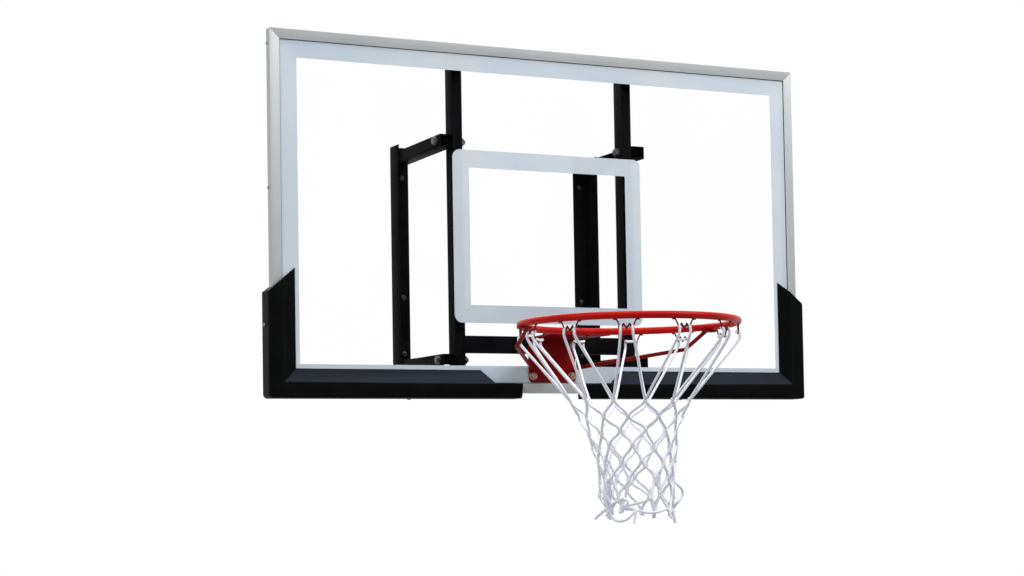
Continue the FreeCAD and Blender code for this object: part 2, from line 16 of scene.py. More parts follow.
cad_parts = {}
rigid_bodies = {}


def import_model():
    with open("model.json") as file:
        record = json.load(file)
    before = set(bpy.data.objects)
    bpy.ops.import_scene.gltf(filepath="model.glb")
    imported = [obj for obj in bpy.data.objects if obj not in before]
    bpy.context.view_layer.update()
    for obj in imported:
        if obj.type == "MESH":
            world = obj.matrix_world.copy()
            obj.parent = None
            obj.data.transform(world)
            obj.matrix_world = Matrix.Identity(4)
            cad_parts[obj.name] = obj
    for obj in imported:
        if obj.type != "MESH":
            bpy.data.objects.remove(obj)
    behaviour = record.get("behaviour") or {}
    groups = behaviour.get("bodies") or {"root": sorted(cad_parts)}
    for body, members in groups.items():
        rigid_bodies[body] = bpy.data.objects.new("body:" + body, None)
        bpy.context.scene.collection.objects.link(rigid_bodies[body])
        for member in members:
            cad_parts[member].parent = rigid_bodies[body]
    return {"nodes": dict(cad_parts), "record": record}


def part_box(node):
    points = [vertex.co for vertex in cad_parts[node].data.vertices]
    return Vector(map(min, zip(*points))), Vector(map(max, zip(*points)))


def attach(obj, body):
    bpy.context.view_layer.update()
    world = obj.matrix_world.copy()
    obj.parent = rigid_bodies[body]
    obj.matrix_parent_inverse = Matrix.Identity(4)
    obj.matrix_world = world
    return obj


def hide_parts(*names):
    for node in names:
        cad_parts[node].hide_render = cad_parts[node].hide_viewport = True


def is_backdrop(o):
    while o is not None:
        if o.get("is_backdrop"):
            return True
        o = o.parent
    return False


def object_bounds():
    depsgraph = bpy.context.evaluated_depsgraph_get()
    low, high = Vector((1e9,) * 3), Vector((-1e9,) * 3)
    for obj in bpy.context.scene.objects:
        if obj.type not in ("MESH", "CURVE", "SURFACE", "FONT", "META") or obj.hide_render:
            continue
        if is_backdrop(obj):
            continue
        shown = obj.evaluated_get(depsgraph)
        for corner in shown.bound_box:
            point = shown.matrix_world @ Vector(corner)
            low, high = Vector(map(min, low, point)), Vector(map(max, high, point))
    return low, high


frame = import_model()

cad_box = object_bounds()
nodes = frame["nodes"]
print("solids loaded:", len(nodes), "box", [[round(v, 3) for v in corner] for corner in cad_box])

# %% [markdown]
# ## The camera
# The photograph was taken from the left and from below the board, with a long lens. The place, the
# angles and the focal length were fitted to the board's edges and the ring in the photograph. Its
# upright lines stay nearly parallel, so part of the upward look is a lens shift: a camera that
# only tilts up makes the posts lean together. Operators act on all that is selected, so the
# selection is cleared first, here and before every new piece.


# %% Set the camera
def clear_selection():
    if bpy.context.mode != "OBJECT":
        bpy.ops.object.mode_set(mode="OBJECT")
    bpy.ops.object.select_all(action="DESELECT")


image_width_px = 1024
lens_px = 1947.3
shift_px = 100.0
yaw, pitch, roll = math.radians(25.456), math.radians(2.537), math.radians(0.962)
camera_place = Vector((-2.0498, -4.4040, -0.5138))

clear_selection()
bpy.ops.object.camera_add()
camera = bpy.context.object
camera.name = "photo_camera"
camera.data.sensor_width = 36.0
camera.data.lens = camera.data.sensor_width * lens_px / image_width_px
camera.data.shift_y = shift_px / image_width_px
camera.matrix_world = (
    Matrix.Translation(camera_place)
    @ Matrix.Rotation(-yaw, 4, "Z")
    @ Matrix.Rotation(math.pi / 2 + pitch, 4, "X")
    @ Matrix.Rotation(-roll, 4, "Z")
)
bpy.context.scene.camera = camera
bpy.context.scene.view_settings.view_transform = "Standard"
print("camera lens", round(camera.data.lens, 2), "mm")

# %% [markdown]
# ## Sums on sockets
# A finish is a small calculation: noise, scaled and mixed. Wiring Math nodes by hand takes many
# lines, so one class wraps a socket and lets ordinary Python sums add the nodes.


# %% Wrap a socket
class Wire:
    def __init__(self, tree, socket=None):
        self.tree = tree
        self.socket = socket

    def node(self, kind, settings=(), inputs=(), out=0):
        made = self.tree.nodes.new(kind)
        for key, value in dict(settings).items():
            setattr(made, key, value)
        for key, value in dict(inputs).items():
            if isinstance(value, Wire):
                self.tree.links.new(value.socket, made.inputs[key])
            else:
                made.inputs[key].default_value = value
        return Wire(self.tree, made.outputs[out])

    def beside(self, out):
        return Wire(self.tree, self.socket.node.outputs[out])

    def math(self, operation, *values):
        return self.node("ShaderNodeMath", {"operation": operation}, enumerate(values))

    def __add__(self, other):
        return self.math("ADD", self, other)

    def __radd__(self, other):
        return self.math("ADD", other, self)

    def __sub__(self, other):
        return self.math("SUBTRACT", self, other)

    def __rsub__(self, other):
        return self.math("SUBTRACT", other, self)

    def __mul__(self, other):
        return self.math("MULTIPLY", self, other)

    def __rmul__(self, other):
        return self.math("MULTIPLY", other, self)

    def between(self, low, high):
        settings = {"interpolation_type": "SMOOTHSTEP"}
        return self.node("ShaderNodeMapRange", settings, {0: self, 1: low, 2: high})

    def mix(self, first, second):
        settings = {"data_type": "RGBA"}
        return self.node("ShaderNodeMix", settings, {0: self, 6: first, 7: second}, out=2)

    def noise(self, coords, scale, detail=2.0):
        values = {"Vector": coords, "Scale": scale, "Detail": detail}
        return self.node("ShaderNodeTexNoise", (), values)

    def bump(self, height, depth, strength=1.0):
        values = {"Strength": strength, "Distance": depth, "Height": height}
        return self.node("ShaderNodeBump", (), values)


def new_finish(name):
    material = bpy.data.materials.new(name)
    material.use_nodes = True
    tree = material.node_tree
    return material, Wire(tree), tree.nodes["Principled BSDF"]


def feed(shader, values):
    for key, value in values.items():
        if isinstance(value, Wire):
            value.tree.links.new(value.socket, shader.inputs[key])
        else:
            shader.inputs[key].default_value = value


def rgb(red, green, blue):
    return (red, green, blue, 1.0)


print("socket sums ready")

# %% [markdown]
# ## Studio
# The photograph has a plain white ground. The world is white to rays that the camera, gloss or
# clear sheets send out, and a softer sky, brighter above, to rays that only gather light, so
# the object isn't flooded. The floor lies at court level, 3.05 m below the ring. To the camera and
# to gloss it is mostly glow, so that it stays pale, and the rest of it takes the object's shadow.
# Four softboxes light the object: a key from the right, and weaker ones above, left and behind.

# %% Build the studio
ring_low, ring_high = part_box("rim_ring")
ring_mid = (ring_low + ring_high) / 2
court_drop = 3.05
floor_half = 14.0
floor_glow = 0.85
sky_strength = 0.58

clear_selection()
bpy.ops.mesh.primitive_plane_add(size=2 * floor_half, location=(0, 0, ring_mid.z - court_drop))
floor = bpy.context.object
floor.name = "court_floor"
floor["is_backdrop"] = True
material, wire, shader = new_finish("court_pale")
coords = wire.node("ShaderNodeTexCoord", out="Object")
mottle = wire.noise(coords, 1.3, 3.0)
feed(shader, {
    "Base Color": mottle.mix(rgb(0.44, 0.44, 0.44), rgb(0.48, 0.48, 0.48)),
    "Roughness": 0.9,
    "Specular IOR Level": 0.1,
})
path = wire.node("ShaderNodeLightPath", out="Is Camera Ray")
seen = path.math("MAXIMUM", path, path.beside("Is Glossy Ray"))
glow = wire.node("ShaderNodeEmission", (), {"Color": rgb(1, 1, 1), "Strength": 1.0})
plain = Wire(wire.tree, shader.outputs[0])
pale = wire.node("ShaderNodeMixShader", (), {0: floor_glow * seen, 1: plain, 2: glow})
wire.tree.links.new(pale.socket, wire.tree.nodes["Material Output"].inputs["Surface"])
floor.data.materials.append(material)

world = bpy.data.worlds.new("studio")
bpy.context.scene.world = world
world.use_nodes = True
world.node_tree.nodes.clear()
wire = Wire(world.node_tree)
path = wire.node("ShaderNodeLightPath", out="Is Camera Ray")
seen = path.math("MAXIMUM", path, path.beside("Is Glossy Ray"))
seen = seen.math("MAXIMUM", seen, path.beside("Is Transmission Ray"))
aim = wire.node("ShaderNodeTexCoord", out="Generated")
height = aim.node("ShaderNodeSeparateXYZ", (), {0: aim}, out="Z")
sky = height.between(-0.6, 0.9).mix(rgb(0.34, 0.35, 0.38), rgb(1.0, 1.0, 1.0))
soft = wire.node("ShaderNodeBackground", (), {"Color": sky, "Strength": sky_strength})
white = wire.node("ShaderNodeBackground", (), {"Color": rgb(1, 1, 1), "Strength": 1.0})
both = wire.node("ShaderNodeMixShader", (), {0: seen, 1: soft, 2: white})
output = world.node_tree.nodes.new("ShaderNodeOutputWorld")
world.node_tree.links.new(both.socket, output.inputs["Surface"])


def add_softbox(name, place, target, size, watts):
    bpy.ops.object.light_add(type="AREA", location=place)
    lamp = bpy.context.object
    lamp.name = name
    lamp.data.shape = "RECTANGLE"
    lamp.data.size, lamp.data.size_y = size
    lamp.data.energy = watts
    lamp.rotation_euler = (Vector(target) - Vector(place)).to_track_quat("-Z", "Y").to_euler()


softboxes = [
    ("key_softbox", (1.9, -2.9, 2.7), (0.0, -0.4, -0.1), (2.2, 1.4), 97),
    ("top_softbox", (0.0, -0.9, 3.4), (0.0, -0.6, 0.0), (1.8, 1.1), 66),
    ("left_softbox", (-3.6, -1.6, 1.4), (0.0, -0.4, 0.0), (2.0, 2.4), 43),
    ("back_softbox", (0.6, 2.8, 2.3), (0.0, -0.3, 0.1), (3.0, 2.0), 46),
]
for softbox in softboxes:
    add_softbox(*softbox)
print("studio: floor at", round(ring_mid.z - court_drop, 3), "softboxes", len(softboxes))

# %% [markdown]
# ## Metal finishes
# The frame is satin silver with a faint drawn grain, so its noise is stretched along the rail.
# The bracket is black powder coat, and the ring is red powder coat: both have the fine orange
# peel of baked powder, which is a shallow bump. A weld under the coat has ripples a few
# millimetres apart. The small screws are zinc plated and a little dull. The ring's bolts are
# tinted brown, those of the bracket are duller, and the screws in the wall are nearly black:
# their black is painted shade, for the dark of the holes they sit in.


# %% Make the metal finishes
def drawn_silver(name, stretch):
    material, wire, shader = new_finish(name)
    coords = wire.node("ShaderNodeTexCoord", out="Object")
    along = wire.node("ShaderNodeMapping", (), {"Vector": coords, "Scale": stretch})
    grain = wire.noise(along, 1.0, 4.0)
    cloud = wire.noise(coords, 7.0, 3.0)
    tone = (0.55 * grain + 0.45 * cloud).between(0.3, 0.7)
    feed(shader, {
        "Base Color": tone.mix(rgb(0.40, 0.42, 0.427), rgb(0.46, 0.477, 0.484)),
        "Metallic": 0.25,
        "Roughness": 0.36 + 0.16 * grain,
        "Specular IOR Level": 0.3,
        "Normal": wire.bump(grain, 0.00004, 0.5),
    })
    return material


def powder_coat(name, dark, light, gloss, level, ripple=0.0):
    material, wire, shader = new_finish(name)
    coords = wire.node("ShaderNodeTexCoord", out="Object")
    peel = wire.noise(coords, 900.0, 2.0)
    if ripple:
        across = wire.node("ShaderNodeSeparateXYZ", (), {0: coords}, out="X")
        peel = peel + 9.0 * wire.math("SINE", across * (2 * math.pi / ripple))
    cloud = wire.noise(coords, 14.0, 5.0)
    rubbed = wire.noise(coords, 46.0, 6.0).between(0.60, 0.74)
    feed(shader, {
        "Base Color": cloud.between(0.3, 0.7).mix(rgb(*dark), rgb(*light)),
        "Roughness": gloss + 0.10 * cloud + 0.14 * rubbed,
        "Specular IOR Level": level,
        "Normal": wire.bump(peel, 0.00012, 0.45),
    })
    return material


def zinc_plate(name, dark, light):
    material, wire, shader = new_finish(name)
    coords = wire.node("ShaderNodeTexCoord", out="Object")
    cloud = wire.noise(coords, 160.0, 4.0)
    fine = wire.noise(coords, 1500.0, 2.0)
    feed(shader, {
        "Base Color": cloud.between(0.3, 0.7).mix(rgb(*dark), rgb(*light)),
        "Metallic": 0.85,
        "Roughness": 0.36 + 0.24 * cloud,
        "Normal": wire.bump(fine, 0.00003, 0.4),
    })
    return material


grain_along, grain_across = 4.0, 900.0
silver_across = drawn_silver("silver_across", (grain_along, grain_across, grain_across))
silver_upright = drawn_silver("silver_upright", (grain_across, grain_across, grain_along))

coal, soot = (0.0044, 0.0044, 0.0050), (0.0072, 0.0072, 0.0082)
bright_red, warm_red = (0.42, 0.005, 0.004), (0.52, 0.008, 0.006)
# The plate, its braces and the ring's welds take a darker copy of the ring's red. The paint is the
# same; the darker red is painted shade, for the ring's shadow on the plate.
shade_red_dark, shade_red_light = (0.18, 0.002, 0.0025), (0.24, 0.0035, 0.0035)
# The thin clip wire is darker still: painted shade, for the shade on the thin wire.
wire_shade_dark, wire_shade_light = (0.10, 0.0025, 0.003), (0.15, 0.004, 0.004)
black_coat = powder_coat("black_coat", coal, soot, gloss=0.38, level=0.006)
red_coat = powder_coat("red_coat", bright_red, warm_red, gloss=0.27, level=0.08)
shaded_plate_red = powder_coat("shaded_plate_red", shade_red_dark, shade_red_light, gloss=0.32, level=0.06)
shaded_wire_red = powder_coat("shaded_wire_red", wire_shade_dark, wire_shade_light, gloss=0.36, level=0.08)
shaded_weld_red = powder_coat("shaded_weld_red", shade_red_dark, shade_red_light, gloss=0.34, level=0.08, ripple=0.003)
zinc = zinc_plate("zinc", (0.19, 0.16, 0.125), (0.33, 0.295, 0.255))
zinc_brown = zinc_plate("zinc_brown", (0.20, 0.12, 0.098), (0.36, 0.232, 0.19))
zinc_dark = zinc_plate("zinc_dark", (0.055, 0.055, 0.055), (0.15, 0.15, 0.15))
# Nearly black zinc for the wall screws: painted shade, for the dark of their holes.
shade_black_zinc = zinc_plate("shade_black_zinc", (0.022, 0.022, 0.023), (0.065, 0.065, 0.066))
print("metal finishes:", silver_across.name, silver_upright.name, black_coat.name, red_coat.name)

# %% [markdown]
# ## Sheet, print and rubber
# The sheet is nearly invisible from the front, so it is a very thin wash of colour with a few
# smears. The print lets a trace of the black posts through. The pads are moulded foam with a
# pebbled skin. On faces that look up the black is painted a lighter slate, a painted highlight
# for the light that falls from above.


# %% Make the sheet, print and rubber finishes
def clear_wash(name):
    material, wire, shader = new_finish(name)
    coords = wire.node("ShaderNodeTexCoord", out="Object")
    smear = wire.noise(coords, 2.6, 5.0).between(0.42, 0.78)
    feed(shader, {
        "Base Color": rgb(0.02, 0.03, 0.03),
        "Roughness": 0.05 + 0.10 * smear,
        "Alpha": 0.002 + 0.005 * smear,
    })
    return material


def screen_print(name):
    material, wire, shader = new_finish(name)
    coords = wire.node("ShaderNodeTexCoord", out="Object")
    cloud = wire.noise(coords, 5.0, 4.0)
    tooth = wire.noise(coords, 1100.0, 2.0)
    feed(shader, {
        "Base Color": cloud.between(0.3, 0.7).mix(rgb(0.555, 0.645, 0.73), rgb(0.645, 0.70, 0.742)),
        "Roughness": 0.42 + 0.1 * tooth,
        "Specular IOR Level": 0.3,
        "Alpha": 0.90,
        "Normal": wire.bump(tooth, 0.00003, 0.4),
    })
    return material


dark_skin, light_skin = rgb(0.0016, 0.0018, 0.002), rgb(0.0028, 0.003, 0.0034)
# Slate for faces that look up: a painted highlight for the light that falls from above.
top_light_slate = rgb(0.0165, 0.0205, 0.0285)


def moulded_skin(name, pebble_size, depth, gloss, level):
    material, wire, shader = new_finish(name)
    coords = wire.node("ShaderNodeTexCoord", out="Object")
    cells = {"Vector": coords, "Scale": 1.0 / pebble_size}
    pebble = wire.node("ShaderNodeTexVoronoi", {"feature": "SMOOTH_F1"}, cells)
    cloud = wire.noise(coords, 22.0, 5.0)
    skin = cloud.between(0.3, 0.7).mix(dark_skin, light_skin)
    # Painted light: faces that look up are mixed towards slate, as if lit from above.
    facing = wire.node("ShaderNodeNewGeometry", out="Normal")
    top_light_mask = wire.node("ShaderNodeSeparateXYZ", (), {0: facing}, out="Z").between(0.1, 0.6)
    feed(shader, {
        "Base Color": (top_light_mask * (0.75 + 0.5 * cloud)).mix(skin, top_light_slate),
        "Roughness": gloss + 0.16 * cloud,
        "Specular IOR Level": level,
        "Normal": wire.bump(1.0 - pebble, depth, 0.5),
    })
    return material


sheet_clear = clear_wash("sheet_clear")
print_white = screen_print("print_white")
pad_skin = moulded_skin("pad_skin", pebble_size=0.0011, depth=0.00012, gloss=0.40, level=0.03)
seal_black = moulded_skin("seal_black", pebble_size=0.0008, depth=0.00005, gloss=0.55, level=0.06)
cap_black = moulded_skin("cap_black", pebble_size=0.0006, depth=0.00004, gloss=0.45, level=0.08)
print("sheet, print and rubber finishes made")

# %% [markdown]
# ## Braided cord
# The net is tied from white braided cord. Its braid runs along the cord, so the pattern reads the
# cord's own UV map: one direction along the cord, in metres, and the other round it. Two families
# of diagonal ridges that take turns on top make the plait, and the hollows between the ridges are
# painted a little darker, as painted shade.


# %% Make the cord finish
def braided_cord(name, pitch, turns):
    material, wire, shader = new_finish(name)
    uv = wire.node("ShaderNodeUVMap", {"uv_map": "UVMap"})
    part = wire.node("ShaderNodeSeparateXYZ", (), {0: uv}, out="X")
    along = part * (2 * math.pi / pitch)
    around = part.beside("Y") * (2 * math.pi * turns)
    one = wire.math("SINE", around + along)
    two = wire.math("SINE", along - around)
    plait = wire.math("MAXIMUM", one, two)
    coords = wire.node("ShaderNodeTexCoord", out="Object")
    fuzz = wire.noise(coords, 1400.0, 3.0)
    soil = wire.noise(coords, 24.0, 4.0).between(0.35, 0.75)
    yarn = soil.mix(rgb(0.94, 0.955, 1.0), rgb(0.905, 0.925, 1.0))
    # Painted shade: the hollows of the plait are coloured darker.
    hollow_shade = rgb(0.86, 0.885, 1.0)
    feed(shader, {
        "Base Color": plait.between(-0.5, 0.5).mix(hollow_shade, yarn),
        "Roughness": 0.78 + 0.14 * fuzz,
        "Specular IOR Level": 0.2,
        "Sheen Weight": 0.6,
        "Sheen Tint": rgb(0.80, 0.86, 1.0),
        "Normal": wire.bump(0.8 * plait + 0.4 * fuzz, 0.0003, 0.6),
    })
    return material


net_white = braided_cord("net_white", pitch=0.0055, turns=4)
print("cord finish:", net_white.name)

# %% [markdown]
# ## Rounded edges
# A CAD solid has knife edges, and real tube, channel and extrusion has small radii that catch the
# light. Each rigid piece is copied, its loose triangles are merged and its flat faces joined, and
# its long edges are bevelled. Short edges round the holes stay as they are.


# %% Round the edges of a copy
merge_gap = 1e-5
flat_angle, sharp_angle = math.radians(1.0), math.radians(18)


def pick(piece):
    clear_selection()
    piece.select_set(True)
    bpy.context.view_layer.objects.active = piece


def clean_copy(node, name):
    pick(nodes[node])
    bpy.ops.object.duplicate()
    piece = bpy.context.object
    piece.parent = None
    for key in list(piece.keys()):
        del piece[key]
    piece.name = name
    piece.data.materials.clear()
    bpy.ops.mesh.customdata_custom_splitnormals_clear()
    bpy.ops.object.mode_set(mode="EDIT")
    bpy.ops.mesh.select_mode(type="EDGE")
    bpy.ops.mesh.select_all(action="SELECT")
    bpy.ops.mesh.remove_doubles(threshold=merge_gap)
    bpy.ops.mesh.dissolve_limited(angle_limit=flat_angle)
    bpy.ops.mesh.select_all(action="DESELECT")
    bpy.ops.object.mode_set(mode="OBJECT")
    return piece


def bevel_edges(piece, width, segments, test):
    pick(piece)
    bpy.ops.object.mode_set(mode="EDIT")
    bpy.ops.mesh.select_mode(type="EDGE")
    bpy.ops.mesh.select_all(action="DESELECT")
    bpy.ops.mesh.edges_select_sharp(sharpness=sharp_angle)
    bpy.ops.object.mode_set(mode="OBJECT")
    mesh = piece.data
    for edge in mesh.edges:
        if edge.select:
            ends = [mesh.vertices[v].co for v in edge.vertices]
            edge.select = test(ends[0], ends[1])
    for vertex in mesh.vertices:
        vertex.select = False
    for face in mesh.polygons:
        face.select = False
    bpy.ops.object.mode_set(mode="EDIT")
    bpy.ops.mesh.bevel(offset=width, segments=segments, affect="EDGES", clamp_overlap=False)
    bpy.ops.object.mode_set(mode="OBJECT")


def long_edge(least):
    return lambda a, b: (a - b).length > least


def settle(piece, finish, slot, *replaced, crease=32):
    pick(piece)
    bpy.ops.object.shade_smooth_by_angle(angle=math.radians(crease))
    piece.data.materials.clear()
    piece.data.materials.append(finish)
    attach(piece, "root")
    if replaced:
        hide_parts(*replaced)


def soften(rows, suffix, least):
    for names, width, finish, slot in rows:
        for node in names:
            piece = clean_copy(node, node + suffix)
            bevel_edges(piece, width, segments=2, test=long_edge(least))
            settle(piece, finish, slot, node)
            print(piece.name, len(piece.data.polygons), "faces")


arms = ("arm_upper_left", "arm_upper_right", "arm_lower_left", "arm_lower_right")
tubes = ("upright_left", "upright_right", "cross_tube_upper", "cross_tube_lower")
rounded = [
    (("frame_top", "frame_bottom"), 0.0007, silver_across, "frame_aluminium"),
    (("frame_left", "frame_right"), 0.0007, silver_upright, "frame_aluminium"),
    (tubes, 0.0016, black_coat, "black_steel"),
    (arms, 0.0012, black_coat, "black_steel"),
    (("wall_angle_left", "wall_angle_right"), 0.0012, black_coat, "black_steel"),
    (("upright_caps",), 0.0008, cap_black, "black_plastic"),
    # The plate takes the darker red, painted shade for the ring's shadow.
    (("rim_bracket",), 0.0009, shaded_plate_red, "red_steel"),
]
shortest_rounded = 0.008
soften(rounded, "_rounded", shortest_rounded)

# %% [markdown]
# Washers and spacers are turned, and a turned part has its rims broken with a file. These edges are
# short steps round a circle, so here every sharp edge is bevelled, and only by a hair.

# %% Break the rims of the turned pieces
turned_pieces = [
    (("arm_washers",), 0.0003, zinc_dark, "zinc_steel"),
    (("rim_washers",), 0.0003, zinc, "zinc_steel"),
    (("arm_spacers",), 0.0006, black_coat, "black_steel"),
    (("rim_spacers",), 0.0006, cap_black, "black_plastic"),
]
soften(turned_pieces, "_eased", 0.0)

# %% [markdown]
# ## The ring
# The ring is one round rod rolled into a hoop. A torus primitive would do, but spinning a small
# circle round the ring's axis follows the rolling, and it gives as many steps as wanted.


# %% Spin the ring
def begin(adder, **settings):
    clear_selection()
    adder(**settings)
    bpy.ops.object.transform_apply()
    return bpy.context.object


rod_r = (ring_high.z - ring_low.z) / 2
hang_r = (ring_high.x - ring_low.x) / 2 - rod_r
upright_turn = (math.pi / 2, 0, 0)
ring = begin(
    bpy.ops.mesh.primitive_circle_add,
    vertices=28, radius=rod_r, location=(hang_r, 0, 0), rotation=upright_turn,
)
bpy.ops.object.mode_set(mode="EDIT")
bpy.ops.mesh.select_all(action="SELECT")
bpy.ops.mesh.spin(steps=180, angle=2 * math.pi, center=(0, 0, 0), axis=(0, 0, 1))
bpy.ops.mesh.select_all(action="SELECT")
bpy.ops.mesh.remove_doubles(threshold=merge_gap)
bpy.ops.mesh.normals_make_consistent(inside=False)
bpy.ops.object.mode_set(mode="OBJECT")
ring.location = ring_mid
bpy.ops.object.transform_apply()
ring.name = "rim_ring_rolled"
settle(ring, red_coat, "red_steel", "rim_ring")
print(ring.name, len(ring.data.polygons), "faces, rod", round(2000 * rod_r, 1), "mm")

# %% [markdown]
# ## Turning and cutting
# Bolts and screws come from a lathe. One helper extrudes a disc step by step through a list of
# radius and height, as a turner works along a bar. Another joins or cuts two solids, and a
# third makes a hexagon whose corners a 30 degree cone has taken off.


# %% Turn a piece
def turned(profile, sides=32):
    radius, height = profile[0]
    piece = begin(
        bpy.ops.mesh.primitive_circle_add,
        vertices=sides, radius=radius, fill_type="NGON", location=(0, 0, height),
    )
    bpy.ops.object.mode_set(mode="EDIT")
    bpy.ops.mesh.select_mode(type="FACE")
    bpy.ops.mesh.select_all(action="SELECT")
    for wide, up in profile[1:]:
        rise = {"value": (0, 0, up - height)}
        bpy.ops.mesh.extrude_region_move(TRANSFORM_OT_translate=rise)
        grow = wide / radius
        bpy.ops.transform.resize(value=(grow, grow, 1), center_override=(0, 0, up))
        radius, height = wide, up
    bpy.ops.mesh.select_all(action="SELECT")
    bpy.ops.mesh.normals_make_consistent(inside=False)
    bpy.ops.object.mode_set(mode="OBJECT")
    return piece


def carve(piece, tool, operation):
    pick(piece)
    cut = piece.modifiers.new("carve", "BOOLEAN")
    cut.operation = operation
    cut.solver = "EXACT"
    cut.object = tool
    bpy.ops.object.modifier_apply(modifier=cut.name)
    bpy.data.objects.remove(tool)
    return piece


def hexagon(across, low, high, both_ends):
    spare = 0.0005
    corner = across / math.sqrt(3)
    bar = begin(
        bpy.ops.mesh.primitive_cylinder_add,
        vertices=6, radius=corner, depth=high - low + 2 * spare, location=(0, 0, (low + high) / 2),
    )
    flat, wide = 0.475 * across, 1.05 * corner
    drop = (wide - flat) * math.tan(math.radians(30))
    foot = [(flat, low), (wide, low + drop)] if both_ends else [(wide, low)]
    return carve(bar, turned(foot + [(wide, high - drop), (flat, high)], sides=48), "INTERSECT")


sample = hexagon(0.017, 0.0, 0.0064, False)
print("a hexagon head has", len(sample.data.polygons), "faces")
bpy.data.objects.remove(sample)

# %% [markdown]
# ## Bolts, nuts and screws
# The ring's plate is held by flange bolts, the arms by plain hexagon bolts, and the rails and pads
# by pan head screws with a cross recess. Each kind is modelled once, standing on the origin with
# its head up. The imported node, split into its loose solids, says where the copies go.


# %% Find the places of a node's solids
def solids_in(node):
    clean_copy(node, "tally")
    bpy.ops.object.mode_set(mode="EDIT")
    bpy.ops.mesh.select_all(action="SELECT")
    bpy.ops.mesh.separate(type="LOOSE")
    bpy.ops.object.mode_set(mode="OBJECT")
    found = []
    for part in [o for o in bpy.data.objects if o.name.startswith("tally")]:
        points = [vertex.co.copy() for vertex in part.data.vertices]
        low = Vector([min(values) for values in zip(*points)])
        high = Vector([max(values) for values in zip(*points)])
        found.append((low, high, sum(points, Vector()) / len(points)))
        bpy.data.objects.remove(part)
    return found


def join(pieces, name):
    pick(pieces[0])
    for piece in pieces:
        piece.select_set(True)
    bpy.ops.object.join()
    pieces[0].name = name
    return pieces[0]


wrench = random.Random(7)


def set_out(model, name, spots):
    copies = []
    for place, way in spots:
        pick(model)
        bpy.ops.object.duplicate()
        copy = bpy.context.object
        turn = Vector((0, 0, 1)).rotation_difference(way).to_matrix()
        spin = Matrix.Rotation(wrench.uniform(0, math.pi / 3), 3, "Z")
        copy.matrix_world = Matrix.Translation(place) @ (turn @ spin).to_4x4()
        bpy.ops.object.transform_apply()
        copies.append(copy)
    bpy.data.objects.remove(model)
    return join(copies, name)


def long_axis(low, high):
    return max(range(3), key=lambda k: high[k] - low[k])


def pointing(axis, side=1):
    way = Vector((0, 0, 0))
    way[axis] = side
    return way


board_mid = (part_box("panel")[0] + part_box("panel")[1]) / 2


def head_spots(node, head_h, heads_out=0):
    spots = []
    for low, high, _ in solids_in(node):
        axis = long_axis(low, high)
        place = (low + high) / 2
        side = heads_out or math.copysign(1, place[axis] - board_mid[axis])
        place[axis] = high[axis] - head_h if side > 0 else low[axis] + head_h
        spots.append((place, pointing(axis, side)))
    length = high[axis] - low[axis] - head_h
    return spots, length


print("rim bolts found:", len(solids_in("rim_bolts")))


# %% Model the bolts and nuts
def thread(radius, length, pitch, turns):
    profile = [(0.8 * radius, -length), (radius, -length + 0.3 * pitch)]
    for k in range(turns):
        up = -length + (k + 0.3) * pitch
        profile += [(0.87 * radius, up + 0.5 * pitch), (radius, up + pitch)]
    return profile


def bolt(across, head_h, radius, length, pitch, flange_r=0.0):
    profile = thread(radius, length, pitch, turns=8) + [(radius, 0.0)]
    seat = 0.0003
    if flange_r:
        seat = 0.0012
        rim = [(0.97, 0.0), (1.0, 0.0004), (1.0, 0.0012), (0.84, 0.0024), (0.4, 0.0026)]
        profile += [(flange_r * share, up) for share, up in rim]
    else:
        profile += [(0.47 * across, 0.0), (0.47 * across, 0.0005), (0.2 * across, 0.0007)]
    return carve(turned(profile), hexagon(across, seat, head_h, False), "UNION")


def nut(across, thick, radius):
    half = thick / 2
    lead = 0.16 * radius
    bore = [(radius + lead, -half - lead), (radius + lead, -half), (radius, -half + lead)]
    bore += [(wide, -up) for wide, up in reversed(bore)]
    return carve(hexagon(across, -half, half, True), turned(bore), "DIFFERENCE")


m10_across, m10_bore = 0.017, 0.00505
bolted = [
    ("rim_bolts", zinc_brown, -1, 0.015, 0.008, 0.005, 0.0015, 0.010),
    ("arm_bolts", zinc_dark, 0, m10_across, 0.0064, 0.005, 0.0015, 0.0),
    ("upright_bolts", zinc_dark, 1, 0.010, 0.004, 0.003, 0.001, 0.0),
]
for node, finish, heads_out, across, head_h, radius, pitch, flange_r in bolted:
    spots, length = head_spots(node, head_h, heads_out)
    model = bolt(across, head_h, radius, length, pitch, flange_r)
    piece = set_out(model, node + "_plated", spots)
    settle(piece, finish, "zinc_steel", node)
    print(piece.name, len(spots), "bolts of", round(1000 * length), "mm")

for node, finish, axis in (("rim_nuts", zinc, 1), ("arm_nuts", zinc_dark, 0)):
    found = solids_in(node)
    thick = found[0][1][axis] - found[0][0][axis]
    spots = [((low + high) / 2, pointing(axis)) for low, high, _ in found]
    piece = set_out(nut(m10_across, thick, m10_bore), node + "_plated", spots)
    settle(piece, finish, "zinc_steel", node)
    print(piece.name, len(spots), "nuts")


# %% Model the screws
def pan_screw(head_r, head_h, radius, length):
    profile = [(0.3 * radius, -length), (radius, -length + 2 * radius), (radius, 0.0)]
    dome = [(1.0, 0.0), (1.0, 0.3), (0.92, 0.62), (0.74, 0.85), (0.45, 0.97), (0.12, 1.0)]
    profile += [(head_r * share, head_h * rise) for share, rise in dome]
    screw = turned(profile, sides=24)
    for turn in (0, math.pi / 2):
        blade = begin(
            bpy.ops.mesh.primitive_cube_add,
            size=1.0, location=(0, 0, head_h), rotation=(0, 0, turn),
            scale=(1.15 * head_r, 0.26 * head_r, 1.1 * head_h),
        )
        carve(screw, blade, "DIFFERENCE")
    return screw


